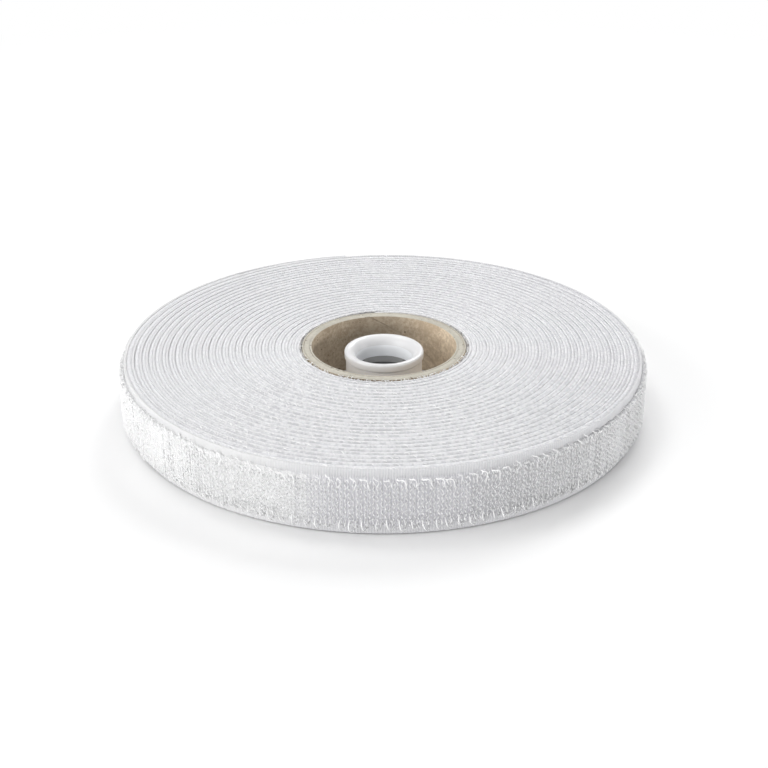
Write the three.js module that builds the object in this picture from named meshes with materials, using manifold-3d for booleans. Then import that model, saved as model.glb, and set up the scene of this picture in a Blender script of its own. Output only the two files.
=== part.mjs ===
// A roll of hook tape: a narrow woven tape with a pile of hooks on its outer face, wound on a paper
// core that turns on two snap-in bushes. Millimetres, +Z up along the roll's axis, origin at the
// middle of the face that the roll lies on.
import * as THREE from "three";
import { mergeVertices } from "three/addons/utils/BufferGeometryUtils.js";
import Module from "manifold-3d";

const wasm = await Module();
wasm.setup();

// Tape
const TAPE_WIDTH = 20;
const GROUND_THICKNESS = 0.8; // the woven ground, without the pile
const SELVEDGE = 2.4; // bare woven edge on either side of the pile
const PACKED_PILE = 0.879; // the pile where the next turn presses on it
const FREE_PILE = 2.1; // the pile of the outermost turn
const TURNS = 23.75;
const TAPE_END_ANGLE = 100; // where the tape's cut end lies, in degrees from +X
const TAIL_LENGTH = 43; // the loose end that can be peeled from the roll
const TAIL_PILE_RELIEF = 2.8; // how far the tail's pile stays back from the line that it peels on

// Strip of adhesive that holds the first turn to the core
const STARTER_LENGTH = 26;
const STARTER_WIDTH = 14;
const STARTER_THICKNESS = 0.3;

// Paper core, wound from three plies
const CORE_BORE_RADIUS = 23.2;
const CORE_LENGTH = 19.3;
const LINER_PLY = 0.6;
const BOARD_PLY = 1.7;
const WRAP_PLY = 0.5;
const GLUE_LINE = 0.1;
const SEAM_GAP = 0.3; // between the two edges of a ply, where they meet
const SEAM_RISE = 29.5; // the helix angle of a ply's seam, in degrees
const LINER_SEAM_ANGLE = 102; // where the liner's seam reaches the upper end, in degrees from +X
const WRAP_SEAM_ANGLE = 215;

// Plug that carries the bushes in the core
const FLANGE_INSET = 0.9; // how far the flange stays inside the core's outer face
const PLUG_FLANGE = 0.8;
const PLUG_RIM_TOP = 2.6;
const PLUG_RIM_WALL = 1.6;
const PLUG_WEB = 1.6;
const BOSS_RADIUS = 12.25;
const BOSS_TOP = 16;
const WINDOWS = 6;
const WINDOW_SPOKE = 5; // width of the spoke between two windows
const WINDOW_MARGIN = 1.6; // web left inside and outside a window

// Bushes, two alike
const BUSH_BORE_RADIUS = 8.8;
const BUSH_SPIGOT_RADIUS = 10.6;
const LIP_RADIUS = 12.7;
const LIP_HEIGHT = 2.5;
const LIP_ROUND = 1.2; // outer edge of the lip
const THROAT = 4; // bore below the lip
const LAND = 4.7; // the stretch of the boss that the spigot turns in
const BARB = 0.4; // how far a barb stands out of the spigot
const BARB_HEIGHT = 1.1;
const FINGERS = 4;
const FINGER_WALL = 0.9;
const FINGER_SLOT = 1.3;

// Clearances
const LAYER_GAP = 0.3; // between the ground, the pile and the next turn
const SEAT_GAP = 0.3; // between pieces that seat on each other
const RUNNING_GAP = 0.2; // round the bushes, which turn

// Facets
const STEPS_PER_TURN = 23;
const TAIL_STEPS = 6;
const CORE_SIDES = 48;
const PLUG_SIDES = 48;
const BUSH_SIDES = 36;
const ROUND_STEPS = 4; // of a quarter round
const SEAM_STEPS = 16; // up the height of a ply

const TURN = 2 * Math.PI;
const radians = THREE.MathUtils.degToRad;
// The radius whose facets stay outside a circle.
const aroundCircle = (radius, sides) => radius / Math.cos(Math.PI / sides);

// Core radii, from the bore outwards. Each ply's facets clear the one inside it.
const linerOuter = CORE_BORE_RADIUS + LINER_PLY;
const boardInner = aroundCircle(linerOuter, CORE_SIDES) + GLUE_LINE;
const boardOuter = boardInner + BOARD_PLY;
const wrapInner = aroundCircle(boardOuter, CORE_SIDES) + GLUE_LINE;
const coreOuter = wrapInner + WRAP_PLY;
const coreBottom = PLUG_FLANGE + SEAT_GAP;
const coreTop = coreBottom + CORE_LENGTH;

// The winding: the ground's inner face climbs by one pitch a turn, clockwise seen from above.
const pitch = GROUND_THICKNESS + PACKED_PILE + 2 * LAYER_GAP;
const starterInner = coreOuter + SEAT_GAP;
const firstTurn = aroundCircle(starterInner + STARTER_THICKNESS, STEPS_PER_TURN) + SEAT_GAP;
const groundInner = (turn) => firstTurn + pitch * turn;
const groundOuter = (turn) => groundInner(turn) + GROUND_THICKNESS;
const pileInner = (turn) => groundOuter(turn) + LAYER_GAP;
const tapeAngle = (turn) => radians(TAPE_END_ANGLE) + TURN * (TURNS - turn);
const turnsFor = (length, turn) => length / (TURN * groundOuter(turn));
const peelTurn = TURNS - turnsFor(TAIL_LENGTH, TURNS);

// The pile is packed under the next turn, and rises to its full height past the tape's cut end.
function pileThickness(turn) {
  const free = THREE.MathUtils.clamp((turn - (TURNS - 1)) * STEPS_PER_TURN, 0, 1);
  return THREE.MathUtils.lerp(PACKED_PILE, FREE_PILE, free);
}
const pileOuter = (turn) => pileInner(turn) + pileThickness(turn);

const nylon = new THREE.MeshStandardMaterial({ color: 0xf0f0f1, roughness: 0.75 });
const hooks = new THREE.MeshStandardMaterial({ color: 0xe6e6ea, roughness: 0.45 });
const adhesive = new THREE.MeshStandardMaterial({ color: 0xded6bc, roughness: 0.5 });
const kraft = new THREE.MeshStandardMaterial({ color: 0xa8937a, roughness: 0.95 });
const greyboard = new THREE.MeshStandardMaterial({ color: 0xc8c2b4, roughness: 0.95 });
const plastic = new THREE.MeshStandardMaterial({ color: 0xf4f4f4, roughness: 0.3 });

// A closed solid through a row of rings that all have the same even number of corners, in order.
// Each end is closed by a ladder of quads across its ring, first half against second half.
function solidThroughRings(rings) {
  const sides = rings[0].length;
  const positions = rings.flat().flatMap((p) => [p.x, p.y, p.z]);
  const index = [];
  const quad = (a, b, c, d) => index.push(a, b, c, a, c, d);
  for (let i = 0; i + 1 < rings.length; i++) {
    for (let k = 0; k < sides; k++) {
      const a = i * sides + k;
      const b = i * sides + ((k + 1) % sides);
      quad(a, a + sides, b + sides, b);
    }
  }
  const last = (rings.length - 1) * sides;
  for (let k = 0; k + 1 < sides / 2; k++) {
    const across = sides - 1 - k;
    quad(k, k + 1, across - 1, across);
    quad(last + k, last + across, last + across - 1, last + k + 1);
  }
  const geometry = new THREE.BufferGeometry();
  geometry.setAttribute("position", new THREE.Float32BufferAttribute(positions, 3));
  geometry.setIndex(index);
  return geometry;
}

const polar = (radius, angle, z) => new THREE.Vector3(radius * Math.cos(angle), radius * Math.sin(angle), z);

// The four corners of an upright strip's section at an angle. The strip runs clockwise.
const stripSection = (inner, outer, bottom, top, angle) => [
  polar(inner, angle, bottom),
  polar(inner, angle, top),
  polar(outer, angle, top),
  polar(outer, angle, bottom),
];

// A stretch of the wound strip, between two radii that change with the turn.
function woundStrip(turns, inner, outer, bottom, top) {
  return solidThroughRings(turns.map((t) => stripSection(inner(t), outer(t), bottom, top, tapeAngle(t))));
}

// The stations of the winding lie on the same spokes in every turn, so that its facets nest.
function windingStations(end) {
  const whole = Math.ceil(end * STEPS_PER_TURN);
  return [...Array(whole).keys()].map((k) => k / STEPS_PER_TURN).concat(end);
}

const stationsBetween = (start, end, steps) =>
  [...Array(steps + 1).keys()].map((k) => THREE.MathUtils.lerp(start, end, k / steps));

// The least gap between one turn's outer face and the next turn's inner face, measured on points.
function leastGap(inner, outer, end) {
  let least = Infinity;
  for (const t of windingStations(end - 1)) {
    const here = polar(outer(t), tapeAngle(t), 0);
    const from = polar(inner(t + 1), tapeAngle(t + 1), 0);
    const to = polar(inner(t + 1 + 1 / STEPS_PER_TURN), tapeAngle(t + 1 + 1 / STEPS_PER_TURN), 0);
    const nearest = new THREE.Line3(from, to).closestPointToPoint(here, true, new THREE.Vector3());
    least = Math.min(least, nearest.distanceTo(here));
  }
  return least;
}

function solidOf(geometry) {
  const bare = geometry.clone();
  bare.deleteAttribute("normal");
  bare.deleteAttribute("uv");
  const merged = mergeVertices(bare, 1e-4);
  return new wasm.Manifold(
    new wasm.Mesh({
      numProp: 3,
      vertProperties: merged.attributes.position.array,
      triVerts: new Uint32Array(merged.index.array),
    }),
  );
}

function geometryOf(solid) {
  const mesh = solid.getMesh();
  const geometry = new THREE.BufferGeometry();
  geometry.setAttribute("position", new THREE.BufferAttribute(mesh.vertProperties, 3));
  geometry.setIndex(new THREE.BufferAttribute(mesh.triVerts, 1));
  geometry.computeVertexNormals();
  return geometry;
}

const cutBy = (geometry, tools) =>
  geometryOf(tools.reduce((solid, tool) => solid.subtract(solidOf(tool)), solidOf(geometry)));

// A ring turned about +Z from a closed section of radius and height.
function turned(section, sides) {
  const closed = [...section, section[0]];
  return new THREE.LatheGeometry(closed, sides).rotateX(Math.PI / 2);
}

const at = (radius, z) => new THREE.Vector2(radius, z);

// Points of a quarter round, both ends included, about a centre in the section.
const quarterRound = (radius, z, round, fromDegrees, toDegrees) =>
  stationsBetween(radians(fromDegrees), radians(toDegrees), ROUND_STEPS).map((angle) =>
    at(radius + round * Math.cos(angle), z + round * Math.sin(angle)),
  );

// A ply of the core: a plain tube over the core's length.
const plyTube = (inner, outer) =>
  turned(
    [at(inner, coreBottom), at(outer, coreBottom), at(outer, coreTop), at(inner, coreTop)],
    CORE_SIDES,
  );

// A ply whose two edges meet in a helical butt seam, which falls from the upper end by one hand.
function seamedPly(inner, outer, seamAngle, hand) {
  const middle = (inner + outer) / 2;
  const half = SEAM_GAP / (Math.sin(radians(SEAM_RISE)) * middle) / 2;
  const seam = stationsBetween(coreBottom - SEAT_GAP, coreTop + SEAT_GAP, SEAM_STEPS).map((z) => {
    const angle = radians(seamAngle) - (hand * (coreTop - z)) / (Math.tan(radians(SEAM_RISE)) * middle);
    return [
      polar(inner - LINER_PLY, angle - half, z),
      polar(inner - LINER_PLY, angle + half, z),
      polar(outer + LINER_PLY, angle + half, z),
      polar(outer + LINER_PLY, angle - half, z),
    ];
  });
  return cutBy(plyTube(inner, outer), [solidThroughRings(seam)]);
}

function starterStrip() {
  const half = STARTER_LENGTH / starterInner / 2;
  const middle = tapeAngle(0) - half;
  const bottom = (TAPE_WIDTH - STARTER_WIDTH) / 2;
  const angles = stationsBetween(middle + half, middle - half, TAIL_STEPS);
  return solidThroughRings(
    angles.map((angle) =>
      stripSection(starterInner, starterInner + STARTER_THICKNESS, bottom, bottom + STARTER_WIDTH, angle),
    ),
  );
}

// Where the boss starts: the lower bush's lip lies under it, clear of the surface below the roll.
const bossBottom = SEAT_GAP + LIP_HEIGHT + SEAT_GAP;
const landRadius = aroundCircle(BUSH_SPIGOT_RADIUS, PLUG_SIDES) + RUNNING_GAP;
const reliefRadius = aroundCircle(BUSH_SPIGOT_RADIUS + BARB, PLUG_SIDES) + RUNNING_GAP;

// The plug: a flange under the core's end, a rim in its bore, a dished web with windows, and a boss.
function hubPlug() {
  const rimRadius = CORE_BORE_RADIUS * Math.cos(Math.PI / CORE_SIDES) - SEAT_GAP;
  const rimInner = rimRadius - PLUG_RIM_WALL;
  const flangeRadius = coreOuter - FLANGE_INSET;
  const webBottom = LIP_RADIUS + SEAT_GAP;
  const body = turned(
    [
      at(landRadius, bossBottom),
      at(webBottom, bossBottom),
      at(rimInner, PLUG_RIM_TOP - PLUG_WEB),
      at(rimInner, 0),
      at(flangeRadius, 0),
      at(flangeRadius, PLUG_FLANGE),
      at(rimRadius, PLUG_FLANGE),
      at(rimRadius, PLUG_RIM_TOP),
      at(rimInner, PLUG_RIM_TOP),
      at(BOSS_RADIUS, bossBottom + PLUG_WEB),
      at(BOSS_RADIUS, BOSS_TOP),
      at(landRadius, BOSS_TOP),
      at(landRadius, BOSS_TOP - LAND),
      at(reliefRadius, BOSS_TOP - LAND),
      at(reliefRadius, bossBottom + LAND),
      at(landRadius, bossBottom + LAND),
    ],
    PLUG_SIDES,
  );
  const windows = [...Array(WINDOWS).keys()].map((k) =>
    webWindow(webBottom + WINDOW_MARGIN, rimInner - WINDOW_MARGIN).rotateZ((TURN * k) / WINDOWS),
  );
  return cutBy(body, windows);
}

// A prism through the web, between two radii and two spokes.
function webWindow(inner, outer) {
  const half = (radius) => Math.PI / WINDOWS - Math.asin(WINDOW_SPOKE / 2 / radius);
  const outline = new THREE.Shape();
  outline.absarc(0, 0, outer, -half(outer), half(outer), false);
  outline.absarc(0, 0, inner, half(inner), -half(inner), true);
  return new THREE.ExtrudeGeometry(outline, {
    depth: BOSS_TOP,
    bevelEnabled: false,
    curveSegments: ROUND_STEPS,
  });
}

// A bush with its lip up: a flared mouth, a throat, and barbed fingers that snap under the land.
function bush() {
  const lipBottom = 0;
  const crest = LIP_RADIUS - LIP_ROUND;
  const flare = crest - BUSH_BORE_RADIUS;
  const fingerBore = BUSH_SPIGOT_RADIUS - FINGER_WALL;
  const barbTop = -(SEAT_GAP + LAND + SEAT_GAP);
  const barbBottom = barbTop - BARB_HEIGHT;
  const body = turned(
    [
      at(BUSH_SPIGOT_RADIUS, lipBottom),
      at(BUSH_SPIGOT_RADIUS, barbTop),
      at(BUSH_SPIGOT_RADIUS + BARB, barbTop),
      at(BUSH_SPIGOT_RADIUS, barbBottom),
      at(fingerBore, barbBottom),
      at(fingerBore, -THROAT),
      at(BUSH_BORE_RADIUS, -THROAT),
      ...quarterRound(crest, LIP_HEIGHT - flare, flare, 180, 90),
      ...quarterRound(crest, LIP_HEIGHT - LIP_ROUND, LIP_ROUND, 90, 0).slice(1),
      at(BOSS_RADIUS, lipBottom),
    ].reverse(),
    BUSH_SIDES,
  );
  const slotLength = -THROAT - barbBottom;
  const slots = [...Array(FINGERS / 2).keys()].map((k) =>
    new THREE.BoxGeometry(4 * BUSH_SPIGOT_RADIUS, FINGER_SLOT, 2 * slotLength)
      .translate(0, 0, barbBottom)
      .rotateZ((TURN * (2 * k + 1)) / (2 * FINGERS)),
  );
  return cutBy(body, slots);
}

function named(name, geometry, material) {
  const mesh = new THREE.Mesh(geometry, material);
  mesh.name = name;
  return mesh;
}

const roll = new THREE.Group();
const pileBottom = SELVEDGE;
const pileTop = TAPE_WIDTH - SELVEDGE;

const winding = windingStations(peelTurn);
roll.add(named("tape_ground", woundStrip(winding, groundInner, groundOuter, 0, TAPE_WIDTH), nylon));
roll.add(named("hook_pile", woundStrip(winding, pileInner, pileOuter, pileBottom, pileTop), hooks));
const windingGap = leastGap(groundInner, groundOuter, peelTurn);
const pileGap = leastGap(pileInner, pileOuter, peelTurn);
console.log(`least gap in the ground's winding ${windingGap.toFixed(2)}, in the pile's ${pileGap.toFixed(2)}`);

const tailStart = peelTurn + turnsFor(SEAT_GAP, TURNS);
const tailPileStart = peelTurn + turnsFor(TAIL_PILE_RELIEF, TURNS);
const tail = stationsBetween(tailStart, TURNS, TAIL_STEPS);
const tailPile = stationsBetween(tailPileStart, TURNS, TAIL_STEPS);
roll.add(named("tape_tail", woundStrip(tail, groundInner, groundOuter, 0, TAPE_WIDTH), nylon));
roll.add(named("tail_pile", woundStrip(tailPile, pileInner, pileOuter, pileBottom, pileTop), hooks));

roll.add(named("starter_strip", starterStrip(), adhesive));
roll.add(named("core_liner", seamedPly(CORE_BORE_RADIUS, linerOuter, LINER_SEAM_ANGLE, 1), kraft));
roll.add(named("core_board", plyTube(boardInner, boardOuter), greyboard));
roll.add(named("core_wrap", seamedPly(wrapInner, coreOuter, WRAP_SEAM_ANGLE, -1), kraft));

roll.add(named("hub_plug", hubPlug(), plastic));
const upperBush = named("upper_bush", bush(), plastic);
upperBush.position.z = BOSS_TOP + SEAT_GAP;
const lowerBush = named("lower_bush", bush(), plastic);
lowerBush.rotation.x = Math.PI;
lowerBush.position.z = bossBottom - SEAT_GAP;
roll.add(upperBush, lowerBush);

export default roll;
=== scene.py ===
"""A roll of white hook tape on a paper core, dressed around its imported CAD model.

Sizes are written in millimetres and turned into metres by MM. The roll's axis is +Z, it lies on the
floor at z = 0, and the camera stands on the -Y side.
"""

import logging
import math
from dataclasses import dataclass
from enum import Enum
from typing import Any, Sequence

import bmesh
import bpy
import numpy as np
from bpy.types import Material, Mesh, NodeSocket, NodeTree, Object
from mathutils import Matrix, Vector


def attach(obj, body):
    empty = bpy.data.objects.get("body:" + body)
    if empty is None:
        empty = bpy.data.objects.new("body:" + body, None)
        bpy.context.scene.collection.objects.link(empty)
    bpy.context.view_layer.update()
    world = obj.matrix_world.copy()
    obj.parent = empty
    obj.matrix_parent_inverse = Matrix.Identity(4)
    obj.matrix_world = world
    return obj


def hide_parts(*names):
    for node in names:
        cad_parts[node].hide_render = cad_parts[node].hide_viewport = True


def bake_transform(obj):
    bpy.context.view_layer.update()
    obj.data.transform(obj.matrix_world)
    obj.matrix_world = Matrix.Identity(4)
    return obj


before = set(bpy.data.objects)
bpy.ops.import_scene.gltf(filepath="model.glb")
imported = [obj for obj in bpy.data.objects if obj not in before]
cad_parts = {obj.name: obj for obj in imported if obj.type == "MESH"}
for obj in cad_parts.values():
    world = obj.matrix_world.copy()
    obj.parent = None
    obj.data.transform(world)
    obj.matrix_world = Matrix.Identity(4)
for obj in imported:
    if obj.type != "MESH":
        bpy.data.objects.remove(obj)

MM = 0.001
TAU = 2 * math.pi
CORE_TOP = 20.4 * MM
BOSS_TOP = 16 * MM

log = logging.getLogger("tape_roll")

Colour = tuple[float, float, float]
Span = tuple[float, float]
Line = tuple[tuple[float, float, float], ...]
Ring = Sequence[tuple[float, float]]
Faces = list[tuple[int, ...]]


class Body(Enum):
    """The CAD bodies that pieces ride on."""

    ROLL = "roll"
    TAIL = "tail"
    UPPER_BUSH = "upper_bush"
    LOWER_BUSH = "lower_bush"


class Slot(Enum):
    """Material slots, by name."""

    WEAVE = "woven_nylon"
    HOOKS = "hook_yarn"
    KRAFT = "kraft_paper"
    BOARD = "grey_board"
    PLASTIC = "white_plastic"


class Term:
    """A socket's value that can be used in Python sums, each of which adds a Math node."""

    def __init__(self, maker: "NodeMaker", socket: NodeSocket) -> None:
        """Keeps the maker that new nodes come from, and the socket that gives the value."""
        self.maker = maker
        self.socket = socket

    def math(self, operation: str, *others: Any, first: Any = None) -> "Term":
        """Adds a Math node.

        Args:
            operation: the Math node's operation.
            others: the second and third operands.
            first: the first operand, where it isn't this value.

        Returns:
            The node's result.
        """
        operands = [self if first is None else first, *others]
        return self.maker.node("ShaderNodeMath", {"operation": operation}, dict(enumerate(operands)))

    def __add__(self, other: Any) -> "Term":
        """This value and another, added."""
        return self.math("ADD", other)

    __radd__ = __add__

    def __sub__(self, other: Any) -> "Term":
        """This value less another."""
        return self.math("SUBTRACT", other)

    def __rsub__(self, other: Any) -> "Term":
        """Another value less this one."""
        return self.math("SUBTRACT", self, first=other)

    def __mul__(self, other: Any) -> "Term":
        """This value times another."""
        return self.math("MULTIPLY", other)

    __rmul__ = __mul__

    def sine(self) -> "Term":
        """The sine of this value, brought to 0 to 1."""
        return self.math("SINE").math("MULTIPLY_ADD", 0.5, 0.5)

    def above(self, low: float, high: float) -> "Term":
        """How far this value has come from low to high, smoothly, from 0 to 1."""
        settings = {"interpolation_type": "SMOOTHSTEP"}
        return self.maker.node("ShaderNodeMapRange", settings, {0: self, 1: low, 2: high})


class NodeMaker:
    """Makes the nodes of one tree, and links them."""

    def __init__(self, tree: NodeTree) -> None:
        """Keeps the tree."""
        self.tree = tree

    @staticmethod
    def _pick(sockets: Any, key: int | str) -> NodeSocket:
        """Finds a socket.

        Args:
            sockets: the sockets of one side of a node.
            key: a place, or a name.

        Returns:
            The socket at the place, or the first usable one of the name.
        """
        if isinstance(key, int):
            return sockets[key]
        return next(s for s in sockets if s.name == key and s.enabled)

    def node(
        self,
        kind: str,
        settings: dict[str, Any] | None = None,
        inputs: dict[int | str, Any] | None = None,
        output: int | str = 0,
    ) -> Term:
        """Adds one node.

        Args:
            kind: the node's type.
            settings: its own properties, set first.
            inputs: a value or a Term for each socket, by name or place.
            output: the socket that is wanted, by name or place among the usable ones.

        Returns:
            The wanted output.
        """
        made = self.tree.nodes.new(kind)
        for name, value in (settings or {}).items():
            setattr(made, name, value)
        for key, value in (inputs or {}).items():
            socket = self._pick(made.inputs, key)
            if isinstance(value, Term):
                self.tree.links.new(value.socket, socket)
            else:
                socket.default_value = value
        return Term(self, self._pick([s for s in made.outputs if s.enabled], output))

    def mix(self, factor: Any, low: Any, high: Any) -> Term:
        """A colour between two others.

        Args:
            factor: 0 for the first colour, 1 for the second.
            low: the first colour, as three numbers or a Term.
            high: the second colour.

        Returns:
            The mixed colour.
        """
        settings = {"data_type": "RGBA", "clamp_factor": True}
        low, high = ((*c, 1.0) if isinstance(c, tuple) else c for c in (low, high))
        return self.node("ShaderNodeMix", settings, {"Factor": factor, "A": low, "B": high})

    def scaled(self, vector: Term, factor: Any) -> Term:
        """A colour or a vector, times a number."""
        return self.node("ShaderNodeVectorMath", {"operation": "SCALE"}, {0: vector, "Scale": factor})

    def noise(self, place: Term, scale: float, detail: float = 3.0, roughness: float = 0.55) -> Term:
        """A noise value about 0.5 at a place, with the given number of grains in a metre."""
        inputs = {"Vector": place, "Scale": scale, "Detail": detail, "Roughness": roughness}
        return self.node("ShaderNodeTexNoise", None, inputs)


class Surface(NodeMaker):
    """The nodes of one material, around a Principled shader."""

    def __init__(self, name: str, **constants: Any) -> None:
        """Starts a material.

        Args:
            name: the material's name.
            constants: Principled sockets that are the same all over, with _ for a space.
        """
        self.material = bpy.data.materials.new(name)
        self.material.use_nodes = True
        super().__init__(self.material.node_tree)
        self.shader = self.tree.nodes["Principled BSDF"]
        for key, value in constants.items():
            self.shader.inputs[key.replace("_", " ")].default_value = value

    @property
    def place(self) -> Term:
        """Object coordinates, in metres."""
        return self.node("ShaderNodeTexCoord", output="Object")

    @property
    def off_axis(self) -> Term:
        """The distance from the roll's axis, in metres."""
        flat = self.node("ShaderNodeVectorMath", {"operation": "MULTIPLY"}, {0: self.place, 1: (1, 1, 0)})
        return self.node("ShaderNodeVectorMath", {"operation": "LENGTH"}, {0: flat}, "Value")

    def along(self, axis: str) -> Term:
        """One Object coordinate, X, Y or Z."""
        return self.node("ShaderNodeSeparateXYZ", None, {0: self.place}, axis)

    def attribute(self, name: str) -> Term:
        """A number that the mesh carries."""
        return self.node("ShaderNodeAttribute", {"attribute_name": name}, output="Fac")

    def feed(self, **values: Term) -> None:
        """Links what changes over the surface to the shader's sockets, with _ for a space."""
        for key, value in values.items():
            self.tree.links.new(value.socket, self.shader.inputs[key.replace("_", " ")])

    def bump(self, height: Term, distance: float, strength: float = 1.0) -> None:
        """Lets a height of 0 to 1 stand out of the surface by a distance."""
        inputs = {"Height": height, "Distance": distance, "Strength": strength}
        self.feed(Normal=self.node("ShaderNodeBump", None, inputs))


def translucent(weight: float, depth: float) -> dict[str, Any]:
    """The constants of a surface that light enters by a depth, alike in all colours."""
    return {"Subsurface_Weight": weight, "Subsurface_Radius": (1.0, 1.0, 1.0), "Subsurface_Scale": depth}


@dataclass(frozen=True)
class WovenNylon:
    """The tape's ground: white and matte, with ribs on the outermost turn, and painted shade under the
    pile.

    The mesh carries along, the length along the tape, outermost, 1 on the last turn, and outer_face,
    1 on the face that the pile stands on. There painted shade darkens the ground, with painted light
    at the roll's left.
    """

    light: Colour = (0.745, 0.745, 0.76)
    shade: Colour = (0.63, 0.63, 0.65)
    # painted shade: the dashes on the top are darker at the roll's front
    painted_shade_front_dashes: Colour = (0.53, 0.53, 0.55)
    # painted shade: the top of the turns takes a flat, darker colour at the roll's left
    painted_shade_left_top: Colour = (0.64, 0.64, 0.655)
    rib_light: Colour = (0.68, 0.68, 0.69)
    rib_shade: Colour = (0.57, 0.57, 0.59)
    # painted light: the outermost turn's face takes a flat, lighter colour at the roll's left
    painted_light_left_face: Colour = (0.685, 0.685, 0.69)
    # painted light in the gaps between the turns, and painted shade in them at the roll's right
    gap: Colour = (0.93, 0.93, 0.94)
    painted_shade_right_gap: Colour = (0.74, 0.74, 0.765)
    # painted shade on the ground under the pile, with painted light at the roll's left and a flat, less
    # shaded colour at its right
    painted_shade_under_pile: Colour = (0.60, 0.597, 0.63)
    painted_shade_under_pile_light: Colour = (0.74, 0.737, 0.76)
    painted_light_under_pile_left: Colour = (0.91, 0.91, 0.915)
    under_right: Colour = (0.74, 0.74, 0.755)
    under_right_from: Span = (22 * MM, 48 * MM)
    left: Span = (-74 * MM, -30 * MM)
    side: Span = (-45 * MM, -8 * MM)
    front: Span = (-45 * MM, 5 * MM)
    right: Span = (20 * MM, 65 * MM)
    pile: Span = (2.7 * MM, 17.9 * MM)
    pile_out: float = 0.3 * MM
    pile_in: float = 0.5 * MM
    # below this height the turns take the gaps' painted light and shade
    crown: Span = (18.5 * MM, 19.7 * MM)
    rib: float = 0.76 * MM
    warp: float = 0.45 * MM
    dash: float = 1.2 * MM
    dash_stretch: float = 0.5
    dash_cut: Span = (0.36, 0.64)
    fuzz_grains: float = 2200
    rib_share: float = 0.6
    warp_share: float = 0.12
    dash_share: float = 0.7
    fuzz_share: float = 0.4
    edge_ribs: float = 0.9
    edge_dim: float = 0.05
    relief: float = 0.16 * MM

    def material(self) -> Material:
        """Makes the material.

        Returns:
            The material.
        """
        s = Surface("woven_nylon", Roughness=0.8, **translucent(0.6, 0.8 * MM))
        across, up, run = s.along("X"), s.along("Z"), s.attribute("along")
        last, side = s.attribute("outermost"), across.above(*self.side)
        ribs = (run * (TAU / self.rib)).sine()
        warps = (up * (TAU / self.warp)).sine()
        fuzz = s.noise(s.place, self.fuzz_grains, detail=2) * self.fuzz_share
        flat = s.node("ShaderNodeCombineXYZ", None, {"X": run, "Y": up * self.dash_stretch})
        dashes = s.noise(flat, 1 / self.dash, detail=1).above(*self.dash_cut)
        ribbed = ribs * self.rib_share + warps * self.warp_share + fuzz
        broken = dashes * self.dash_share + fuzz

        # painted shade on the dashes at the roll's front
        painted_shade_dashes = s.mix(s.along("Y").above(*self.front), self.painted_shade_front_dashes, self.shade)
        # painted shade: a flat, darker top at the roll's left
        plain = s.mix(across.above(*self.left), self.painted_shade_left_top, s.mix(broken, painted_shade_dashes, self.light))
        # painted light in the gaps between the turns, turning to painted shade at the roll's right
        between = s.mix(across.above(*self.right), self.gap, self.painted_shade_right_gap)
        inner = s.mix(up.above(*self.crown), between, plain)
        edge = s.mix(ribbed * self.edge_ribs - self.edge_dim, self.rib_shade, self.rib_light)
        # painted light: a flat, lighter face on the outermost turn at the roll's left
        bare = s.mix(last, inner, s.mix(side, self.painted_light_left_face, edge))

        low, high = self.pile
        covered = up.above(low - self.pile_out, low + self.pile_in)
        covered = covered - up.above(high - self.pile_in, high + self.pile_out)
        # painted shade where the pile covers the ground, painted light at the roll's left, a flat, less
        # shaded colour at its right
        under = s.mix(side, self.painted_light_under_pile_left, s.mix(ribbed, self.painted_shade_under_pile, self.painted_shade_under_pile_light))
        under = s.mix(across.above(*self.under_right_from), under, self.under_right)
        s.feed(Base_Color=s.mix(covered * s.attribute("outer_face"), bare, under))
        s.bump(broken + last * (ribbed - broken), self.relief)
        return s.material


@dataclass(frozen=True)
class HookYarn:
    """The hooks: clear white monofilament with a soft shine, rougher at the roll's left, with painted shade
    at its sides.
    """

    light: Colour = (0.96, 0.96, 0.962)
    shade: Colour = (0.91, 0.91, 0.92)
    # painted shade: flat, darker colours at the roll's right and left
    painted_shade_right: Colour = (0.87, 0.87, 0.875)
    painted_left_light_and_shade: Colour = (0.92, 0.92, 0.925)
    right: Span = (22 * MM, 48 * MM)
    left: Span = (-64 * MM, -40 * MM)
    grains: float = 700
    speckle: Span = (0.3, 0.65)
    rough: float = 0.16
    rough_grain: float = 0.3
    rough_left: float = 0.4

    def material(self) -> Material:
        """Makes the material.

        Returns:
            The material.
        """
        s = Surface("hook_yarn", IOR=1.53, Specular_IOR_Level=0.35, **translucent(0.7, 0.4 * MM))
        across, grain = s.along("X"), s.noise(s.place, self.grains, detail=2)
        clear = s.mix(grain.above(*self.speckle), self.shade, self.light)
        # painted light and shade by side: a flat colour at the roll's left, painted shade at its right
        left = 1 - across.above(*self.left)
        side = s.mix(across.above(*self.right), clear, self.painted_shade_right)
        s.feed(Base_Color=s.mix(left, side, self.painted_left_light_and_shade))
        s.feed(Roughness=grain * self.rough_grain + self.rough + left * self.rough_left)
        return s.material


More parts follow.
